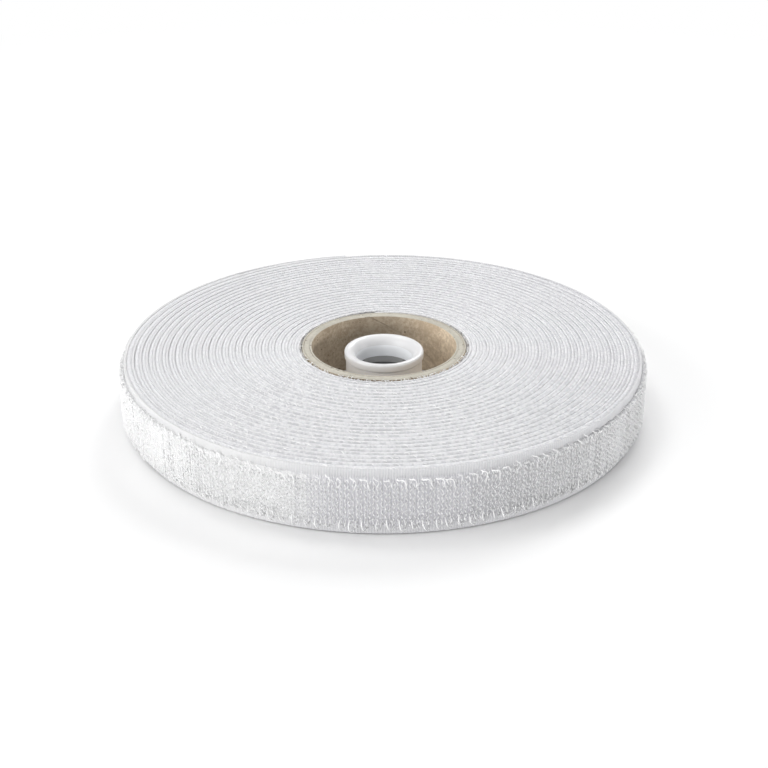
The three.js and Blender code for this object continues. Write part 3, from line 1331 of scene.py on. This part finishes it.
    def packed(self, turn: np.ndarray) -> np.ndarray:
        """How closely the pile is packed, from 0 at the roll's front to 1 at its sides."""
        return smooth(ramp(self.off_front(turn), *self.packed_off_front))

    def hook_columns(self, turns: Span, height: float = 1.0) -> HookStand:
        """The hooks on the outer face, in columns across the tape, each column turned one way.

        They are lower at the roll's front, where the looser yarns stand up.

        Args:
            turns: the first and the last turn.
            height: the share of their height that is left to them under another turn.

        Returns:
            Where the hooks stand.
        """
        columns = self.columns(turns)
        rows = round((self.width - 2 * self.selvedge) / self.hook_pitch)
        count = len(columns) * rows
        number = np.repeat(np.arange(len(columns)), rows)
        turned = self.random.integers(0, 2, len(columns))
        size = height * self.random.uniform(*self.hook_size, len(columns))
        size *= self.hook_least + (1 - self.hook_least) * self.packed(columns)
        along, across = self.hook_stray
        turn = columns[number] + self.random.normal(0, along, count)
        staggered = 0.25 + 0.5 * (number % 2)
        step = np.tile(np.arange(rows), len(columns)) + staggered
        up = self.selvedge + step * self.hook_pitch + self.random.normal(0, across, count)
        places = self.path.at(turn, self.thickness / 2, up)
        return HookStand(places, self.path.facing(turn, turned[number]), size[number])

    def strands(self, turns: Span) -> HookStand:
        """The wavy lines that the tips of the hooks make across the tape, every second one turned round.

        Args:
            turns: the first and the last turn.

        Returns:
            Where the strands stand.
        """
        turn = self.columns(turns)
        count = len(turn)
        up = self.width / 2 + self.random.uniform(-self.strand_stray, self.strand_stray, count)
        out = self.thickness / 2 + self.random.uniform(*self.strand_out, count)
        places = self.path.at(turn, out - self.strand_sink * self.packed(turn), up)
        return HookStand(places, self.path.facing(turn, np.arange(count) % 2), np.ones(count))

    def border(self, turns: Span, up: float) -> HookStand:
        """The bigger loops along a border of the pile, which lie deeper in it away from the front.

        Args:
            turns: the first and the last turn.
            up: the border's height.

        Returns:
            Where the loops stand.
        """
        turn = self.columns(turns)[:: self.loop_columns]
        count = len(turn)
        along, across = self.loop_stray
        turn = turn + self.random.normal(0, along, count)
        rise = up + self.random.normal(0, across, count)
        sunk = self.loop_sink * ramp(self.off_front(turn), *self.sunk_off_front)
        out = self.thickness / 2 + self.random.uniform(*self.loop_out, count) - sunk
        return HookStand(self.path.at(turn, out, rise), self.path.facing(turn), np.ones(count))

    def curls(self, turns: Span, pitch: float, out: Span, depth: Span, span: float = math.pi) -> HookStand:
        """The curls that show in the gap between two turns.

        Args:
            turns: the first and the last turn.
            pitch: how far apart they are along the tape.
            out: the least and most distance outwards from the ground's middle.
            depth: the least and most height from the tape's upper edge.
            span: how far they go to either side of the roll's front, as an angle.

        Returns:
            Where the curls stand.
        """
        turn = np.linspace(*turns, round(self.path.length(turns) / pitch))
        turn = turn[-np.sin(self.path.angle(turn)) >= math.cos(span)]
        count = len(turn)
        away = self.random.uniform(*out, count)
        up = self.width + self.random.uniform(*depth, count)
        return HookStand(self.path.at(turn, away, up), self.path.facing(turn), np.ones(count))

    def tips(self, turns: Span, strands: str, curls: str, loops: str) -> list[Object]:
        """What lies on the hooks of the outer face, and along the borders of its pile.

        Args:
            turns: the first and the last turn.
            strands: the name of the strands across the tape.
            curls: the name of the upper border's curls.
            loops: the name of the lower border's loops.

        Returns:
            The three pieces.
        """
        return [
            self.field(strands, STRAND, self.strands(turns)),
            self.field(curls, UPPER_CURL, self.border(turns, self.width - self.selvedge)),
            self.field(loops, LOWER_LOOP, self.border(turns, self.selvedge)),
        ]

    def gap_yarns(self, outer: float) -> list[Object]:
        """The curls and yarns that show from above between the turns, and beside the core.

        Args:
            outer: the turn at which the outermost one starts.

        Returns:
            The pieces.
        """
        middle = self.gap_middle * self.path.pitch
        gap = (middle - self.gap_spread, middle + self.gap_spread)
        start, parting = self.curl_start, self.curl_parting
        core = self.curls((start, self.core_curl_end), self.core_curl_pitch, self.core_gap, self.yarn_depth)
        made = [self.field("core_curls", GAP_CURL, core)]
        for name, turns in (("inner_curls", (start, parting)), ("middle_curls", (parting, outer))):
            stand = self.curls(turns, self.curl_pitch, gap, self.curl_depth)
            made.append(self.field(name, GAP_CURL, stand))
        yarns = self.curls((self.yarn_start, outer), self.yarn_pitch, gap, self.yarn_depth, self.yarn_span)
        made.append(self.field("edge_yarns", EDGE_YARN, yarns))
        return made

    def build(self) -> list[Object]:
        """Makes all the pieces of the tape.

        Returns:
            The pieces.
        """
        first, last, peel = self.path.first, self.path.turns, self.path.peel_turn
        outer = last - 1.0
        wound, outermost = (first, peel), (outer, peel)
        loose, under_loose = (peel, last), (peel - 1, outer)

        ground = self.swept("tape_weave", self.ground_section(), wound, self.weave)
        tail = self.swept("tail_weave", self.ground_section(), loose, self.weave)
        bed = self.swept("pile_bed", self.pile_section(), (first + self.pile_start, peel - 1), self.pile)
        pressed_bed = self.swept("pressed_bed", self.pile_section(self.pressed), under_loose, self.pile)
        fixed = [
            ground,
            bed,
            pressed_bed,
            self.hook_feet("outer_feet", outermost),
            self.field("pressed_hooks", CANE, self.hook_columns(under_loose, self.pressed)),
            self.field("outer_hooks", CANE, self.hook_columns(outermost)),
            *self.tips(outermost, "outer_strands", "upper_curls", "lower_loops"),
            *self.gap_yarns(outer),
        ]
        tail_hooks = self.field("tail_hooks", CANE, self.hook_columns(loose))
        peeled = [
            tail,
            self.hook_feet("tail_feet", loose),
            tail_hooks,
            *self.tips(loose, "tail_strands", "tail_curls", "tail_loops"),
        ]

        for piece in fixed:
            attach(piece, Body.ROLL.value)
        bend = np.array([peel, peel + self.bend_turns])
        hinge, away = self.path.at(bend, self.thickness / 2)
        for piece in peeled:
            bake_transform(piece)
        nodes = {"tape_ground": ground, "tape_tail": tail, "hook_pile": bed, "tail_pile": tail_hooks}
        for node, piece in nodes.items():
            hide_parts(node)
        for piece, turns, under in ((ground, wound, "core_board"), (tail, loose, ground)):
            length = self.path.length(turns)
            log.info("%s: %.3f m of tape", piece.name, length)
        return [*fixed, *peeled]


@dataclass
class PaperCore:
    """The spirally wound paper core: a liner with its seam, the board, and an outer wrap."""

    kraft: Material
    board: Material
    bottom: float = 1.1 * MM
    top: float = CORE_TOP
    bore: float = 23.2 * MM
    liner: float = 0.6 * MM
    board_outer: float = 25.65 * MM
    outer: float = 26.25 * MM
    ply_gap: float = 0.05 * MM
    liner_round: float = 0.12 * MM
    board_round: float = 0.25 * MM
    wrap_round: float = 0.15 * MM
    seam_rise: float = math.radians(29.5)
    seam_angle: float = math.radians(102)
    seam_gap: float = 0.2 * MM
    seam_lift: float = 0.14 * MM
    seam_fade: float = 0.012
    sharp: float = math.radians(50)
    sides: int = 240
    rows: int = 30

    def liner_mesh(self) -> Object:
        """The liner, whose two edges meet in a seam that falls to the photo's right.

        Returns:
            The liner.
        """
        top, soft = self.top, self.liner_round
        inner, outer, middle = self.bore, self.bore + self.liner, self.bore + self.liner / 2
        heights = np.linspace(self.bottom, top, self.rows + 1)
        section = [(inner, z) for z in heights[:-1]]
        section += [(inner + 0.1 * soft, top - soft), (inner + soft, top), (outer - soft, top)]
        section += [(outer, z) for z in heights[::-1]]
        radii, levels = np.array(section).T
        count = len(section)

        opening = self.seam_gap / (math.sin(self.seam_rise) * middle)
        share = np.linspace(0, 1, self.sides + 1)[:, None]
        lead = (top - levels) / (math.tan(self.seam_rise) * middle)
        angle = self.seam_angle - lead - share * (TAU - opening)
        lift = self.seam_lift * np.exp(-share / self.seam_fade) * (radii < outer - soft)
        radius = radii - lift
        level = np.broadcast_to(levels, angle.shape)
        points = np.stack([radius * np.cos(angle), radius * np.sin(angle), level], axis=-1)
        ends = [tuple(range(count)), tuple(self.sides * count + k for k in range(count))[::-1]]
        faces = ring_faces(self.sides + 1, count) + ends
        return mesh_object("liner_paper", points.reshape(-1, 3), faces, self.kraft)

    def ring(self, name: str, radii: Span, soft: float, material: Material) -> Object:
        """A plain ply with soft edges.

        Args:
            name: the piece's name.
            radii: its inner and outer radius.
            soft: the round of its upper edges.
            material: its finish.

        Returns:
            The ply.
        """
        inner, outer = radii
        section = [(inner, self.bottom), (outer, self.bottom), (outer, self.top - soft)]
        section += arc(outer - soft, self.top - soft, soft, (0, 90), 3)[1:]
        section += arc(inner + soft, self.top - soft, soft, (90, 180), 3)
        return mesh_object(name, *turned_ring(section, self.sides), material)

    def build(self) -> list[Object]:
        """Makes the three plies.

        Returns:
            The pieces.
        """
        liner = self.liner_mesh()
        board_radii = (self.bore + self.liner + self.ply_gap, self.board_outer)
        board = self.ring("board_ply", board_radii, self.board_round, self.board)
        wrap_radii = (self.board_outer + self.ply_gap, self.outer)
        wrap = self.ring("wrap_paper", wrap_radii, self.wrap_round, self.kraft)
        for piece, node, slot in (
            (liner, "core_liner", Slot.KRAFT),
            (board, "core_board", Slot.BOARD),
            (wrap, "core_wrap", Slot.KRAFT),
        ):
            piece.data.set_sharp_from_angle(angle=self.sharp)
            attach(piece, Body.ROLL.value)
            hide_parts(node)
        return [liner, board, wrap]


@dataclass
class Hub:
    """The moulded plug in the core, and the two snap bushes that turn in it."""

    plastic: Material
    flange_radius: float = 25.406 * MM
    flange: float = 0.8 * MM
    rim_radius: float = 22.85 * MM
    rim_wall: float = 1.6 * MM
    rim_top: float = 2.6 * MM
    web: float = 1.6 * MM
    boss_radius: float = 12.25 * MM
    boss_bottom: float = 3.1 * MM
    boss_top: float = BOSS_TOP
    boss_round: float = 0.3 * MM
    land_radius: float = 10.82 * MM
    relief_radius: float = 11.22 * MM
    land: float = 4.7 * MM
    windows: int = 6
    window_inner: float = 14.6 * MM
    window_outer: float = 19.65 * MM
    window_cut: Span = (-2 * MM, 9 * MM)
    window_steps: int = 8
    spoke: float = 5 * MM
    bush_bore: float = 8.8 * MM
    spigot: float = 10.6 * MM
    lip_radius: float = 12.7 * MM
    lip_height: float = 2.5 * MM
    lip_round: float = 0.7 * MM
    lip_foot: float = 0.35 * MM
    flare: float = 2.9 * MM
    flare_depth: float = 4.8 * MM
    throat: float = 4 * MM
    throat_edge: float = 0.15 * MM
    seat_gap: float = 0.3 * MM
    barb: float = 0.4 * MM
    barb_height: float = 1.1 * MM
    fingers: int = 4
    finger_wall: float = 0.9 * MM
    slot_width: float = 1.3 * MM
    slot_gap: float = 0.03 * MM
    sharp_degrees: float = 32
    sides: int = 144

    def cut(self, piece: Object, tools: list[Object]) -> Object:
        """Cuts tools out of a piece.

        Args:
            piece: what is cut.
            tools: the cutting shapes, which are removed.

        Returns:
            The piece as a plain mesh.
        """
        for tool in tools:
            modifier = piece.modifiers.new("cut", "BOOLEAN")
            modifier.operation = "DIFFERENCE"
            modifier.solver = "EXACT"
            modifier.object = tool
        made = as_plain_mesh(piece, self.sharp_degrees)
        for tool in tools:
            bpy.data.objects.remove(tool)
        return made

    def plug_mesh(self) -> Object:
        """The plug, with its windows cut.

        Returns:
            The plug.
        """
        rim_inner = self.rim_radius - self.rim_wall
        soft = self.boss_round
        section = [
            (self.land_radius, self.boss_bottom),
            (self.lip_radius + self.seat_gap, self.boss_bottom),
            (rim_inner, self.rim_top - self.web),
            (rim_inner, 0.0),
            (self.flange_radius, 0.0),
            (self.flange_radius, self.flange),
            (self.rim_radius, self.flange),
            (self.rim_radius, self.rim_top),
            (rim_inner, self.rim_top),
            (self.boss_radius, self.boss_bottom + self.web),
            *arc(self.boss_radius - soft, self.boss_top - soft, soft, (0, 90), 4),
            (self.land_radius, self.boss_top),
            (self.land_radius, self.boss_top - self.land),
            (self.relief_radius, self.boss_top - self.land),
            (self.relief_radius, self.boss_bottom + self.land),
            (self.land_radius, self.boss_bottom + self.land),
        ]
        plug = mesh_object("plug_body", *turned_ring(section, self.sides), self.plastic)
        return self.cut(plug, [self.window_tool(k) for k in range(self.windows)])

    def window_tool(self, number: int) -> Object:
        """The prism that cuts one window, between two radii and two spokes.

        Args:
            number: which window it is.

        Returns:
            The prism.
        """
        turn = math.degrees(TAU * number / self.windows)
        outline: list[Span] = []
        for radius, way in ((self.window_outer, 1), (self.window_inner, -1)):
            half = way * math.degrees(math.pi / self.windows - math.asin(self.spoke / 2 / radius))
            outline += arc(0.0, 0.0, radius, (turn - half, turn + half), self.window_steps)
        points = [(x, y, z) for z in self.window_cut for x, y in outline]
        return mesh_object("window_tool", points, tube_faces(2, len(outline)), None)

    def bush_mesh(self, name: str, seat: float, turned_over: bool) -> Object:
        """One bush.

        Args:
            name: the piece's name.
            seat: the height of its lip's underside.
            turned_over: True if its lip is at the bottom.

        Returns:
            The bush, with the slots between its fingers cut.
        """
        finger_bore = self.spigot - self.finger_wall
        barb_top = -(self.seat_gap + self.land + self.seat_gap)
        barb_bottom = barb_top - self.barb_height
        top, soft, foot, edge = self.lip_height, self.lip_round, self.lip_foot, self.throat_edge
        flare = arc(self.bush_bore + self.flare, -self.flare, self.flare, (180, 90), 12)
        section = [
            (self.spigot, 0.0),
            (self.spigot, barb_top),
            (self.spigot + self.barb, barb_top),
            (self.spigot, barb_bottom),
            (finger_bore, barb_bottom),
            (finger_bore, -self.throat),
            (self.bush_bore + edge, -self.throat),
            (self.bush_bore, -self.throat + edge),
            *((r, top + z * self.flare_depth / self.flare) for r, z in flare),
            *arc(self.lip_radius - soft, top - soft, soft, (90, 0), 8)[1:],
            *arc(self.lip_radius - foot, foot, foot, (0, -90), 4),
        ]
        bush = mesh_object(name, *turned_ring(section[::-1], self.sides), self.plastic)
        turns = [TAU * (k + 0.5) / self.fingers for k in range(self.fingers // 2)]
        made = self.cut(bush, [self.slot_tool(barb_bottom, turn) for turn in turns])
        place = Matrix.Translation((0, 0, seat))
        if turned_over:
            place = place @ Matrix.Rotation(math.pi, 4, "X")
        made.data.transform(place)
        return made

    def slot_tool(self, barb_bottom: float, turn: float) -> Object:
        """A box that cuts two opposite slots between the fingers.

        Args:
            barb_bottom: the height of the fingers' ends.
            turn: the angle of the slots.

        Returns:
            The box.
        """
        mesh = bpy.data.meshes.new("slot_tool")
        box = bmesh.new()
        bmesh.ops.create_cube(box, size=1)
        size = (4 * self.spigot, self.slot_width, 2 * (-self.throat - self.slot_gap - barb_bottom))
        place = Matrix.Rotation(turn, 4, "Z") @ Matrix.Translation((0, 0, barb_bottom))
        bmesh.ops.transform(box, matrix=place @ Matrix.Diagonal((*size, 1)), verts=box.verts)
        box.to_mesh(mesh)
        box.free()
        return link("slot_tool", mesh)

    def build(self) -> list[Object]:
        """Makes the plug and both bushes.

        Returns:
            The pieces.
        """
        plug = self.plug_mesh()
        upper = self.bush_mesh("bush_above", self.boss_top + self.seat_gap, False)
        lower = self.bush_mesh("bush_below", self.boss_bottom - self.seat_gap, True)
        for piece, body, node in (
            (plug, Body.ROLL, "hub_plug"),
            (upper, Body.UPPER_BUSH, "upper_bush"),
            (lower, Body.LOWER_BUSH, "lower_bush"),
        ):
            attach(piece, body.value)
            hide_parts(node)
        return [plug, upper, lower]


@dataclass(frozen=True)
class Lamp:
    """An area light that looks at the roll, with its width and its height."""

    name: str
    place: tuple[float, float, float]
    size: Span
    power: float

    def build(self) -> None:
        """Puts the light in the scene."""
        light = bpy.data.lights.new(self.name, "AREA")
        light.shape = "RECTANGLE"
        light.size, light.size_y = self.size
        light.energy = self.power
        lamp = link(self.name, light)
        lamp.location = self.place
        lamp.rotation_euler = (-Vector(self.place)).to_track_quat("-Z", "Y").to_euler()


@dataclass
class Studio:
    """The floor, the lights and the camera."""

    camera_place: tuple[float, float, float] = (0.0, -421.453 * MM, 209.938 * MM)
    camera_pitch: float = 0.450
    lens: float = 67.58
    sensor: float = 36
    nearest: float = 10 * MM
    floor_half: float = 4.0
    floor_fade: Span = (0.3, 0.6)
    floor_grey: float = 0.8
    floor_glare: float = 0.94
    world: float = 0.35
    lamps: tuple[Lamp, ...] = (
        Lamp("key", (-0.36, 0.34, 1.1), (0.45, 0.45), 2.7),
        Lamp("over", (-0.1, 0.0, 1.2), (1.3, 1.3), 2.5),
        Lamp("rim", (0.3, 0.85, 0.75), (0.55, 0.5), 5.9),
        Lamp("left", (-1.0, -0.62, 0.5), (1.2, 0.8), 8.6),
        Lamp("right", (1.1, -0.15, 0.14), (0.4, 0.24), 4.7),
        Lamp("front", (-0.25, -1.1, 0.12), (0.6, 0.22), 4.0),
    )

    def build(self) -> None:
        """Sets up the camera, the world, the floor and the lights."""
        scene = bpy.context.scene
        scene.view_settings.view_transform = "Standard"
        camera = bpy.data.cameras.new("camera")
        camera.lens = self.lens
        camera.sensor_width = self.sensor
        camera.clip_start = self.nearest
        view = link("camera", camera)
        view.location = self.camera_place
        view.rotation_euler = (math.pi / 2 - self.camera_pitch, 0, 0)
        scene.camera = view
        world = bpy.data.worlds.new("studio")
        world.use_nodes = True
        sky = world.node_tree.nodes["Background"]
        sky.inputs["Color"].default_value = (1, 1, 1, 1)
        seen = NodeMaker(world.node_tree).node("ShaderNodeLightPath", output="Is Camera Ray")
        strength = seen * (1 - self.world) + self.world
        world.node_tree.links.new(strength.socket, sky.inputs["Strength"])
        scene.world = world
        self.floor()
        for lamp in self.lamps:
            lamp.build()

    def floor(self) -> None:
        """A pale floor, which shows white to the camera where no shadow falls, and far from the roll."""
        half = self.floor_half
        corners = [(-half, -half, 0), (half, -half, 0), (half, half, 0), (-half, half, 0)]
        s = Surface("floor", Roughness=0.9, Specular_IOR_Level=0.0, Emission_Strength=1.0)
        seen = s.node("ShaderNodeLightPath", output="Is Camera Ray")
        far = seen * s.off_axis.above(*self.floor_fade)
        black, white = (0.0, 0.0, 0.0), (1.0, 1.0, 1.0)
        near = s.mix(seen, (self.floor_grey,) * 3, (self.floor_glare,) * 3)
        s.feed(Base_Color=s.mix(far, near, black), Emission_Color=s.mix(far, black, white))
        mesh_object("floor", corners, [(0, 1, 2, 3)], s.material)


def main() -> None:
    """Builds the roll piece by piece."""
    logging.basicConfig(level=logging.INFO, format="%(name)s: %(message)s")
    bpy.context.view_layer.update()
    even = (1.0, 1.0, 1.0)
    kraft = PaperBoard("kraft_paper", (0.79, 0.665, 0.505), (0.53, 0.42, 0.30)).material()
    board = PaperBoard("grey_board", (0.66, 0.64, 0.58), (0.55, 0.53, 0.47), painted_light_and_shade=even).material()
    plastic = MouldedPlastic().material()
    Studio().build()
    finishes = (WovenNylon(), HookYarn(), PackedPile(), HookFeet())
    pieces = WoundTape(TapePath(), *(f.material() for f in finishes)).build()
    pieces += PaperCore(kraft, board).build()
    pieces += Hub(plastic).build()
    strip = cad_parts["starter_strip"]
    strip.data.materials.clear()
    strip.data.materials.append(AdhesiveFilm().material())
    for piece in pieces:
        piece.data.calc_loop_triangles()
        log.info("%s: %d triangles", piece.name, len(piece.data.loop_triangles))


if __name__ == "__main__":
    main()
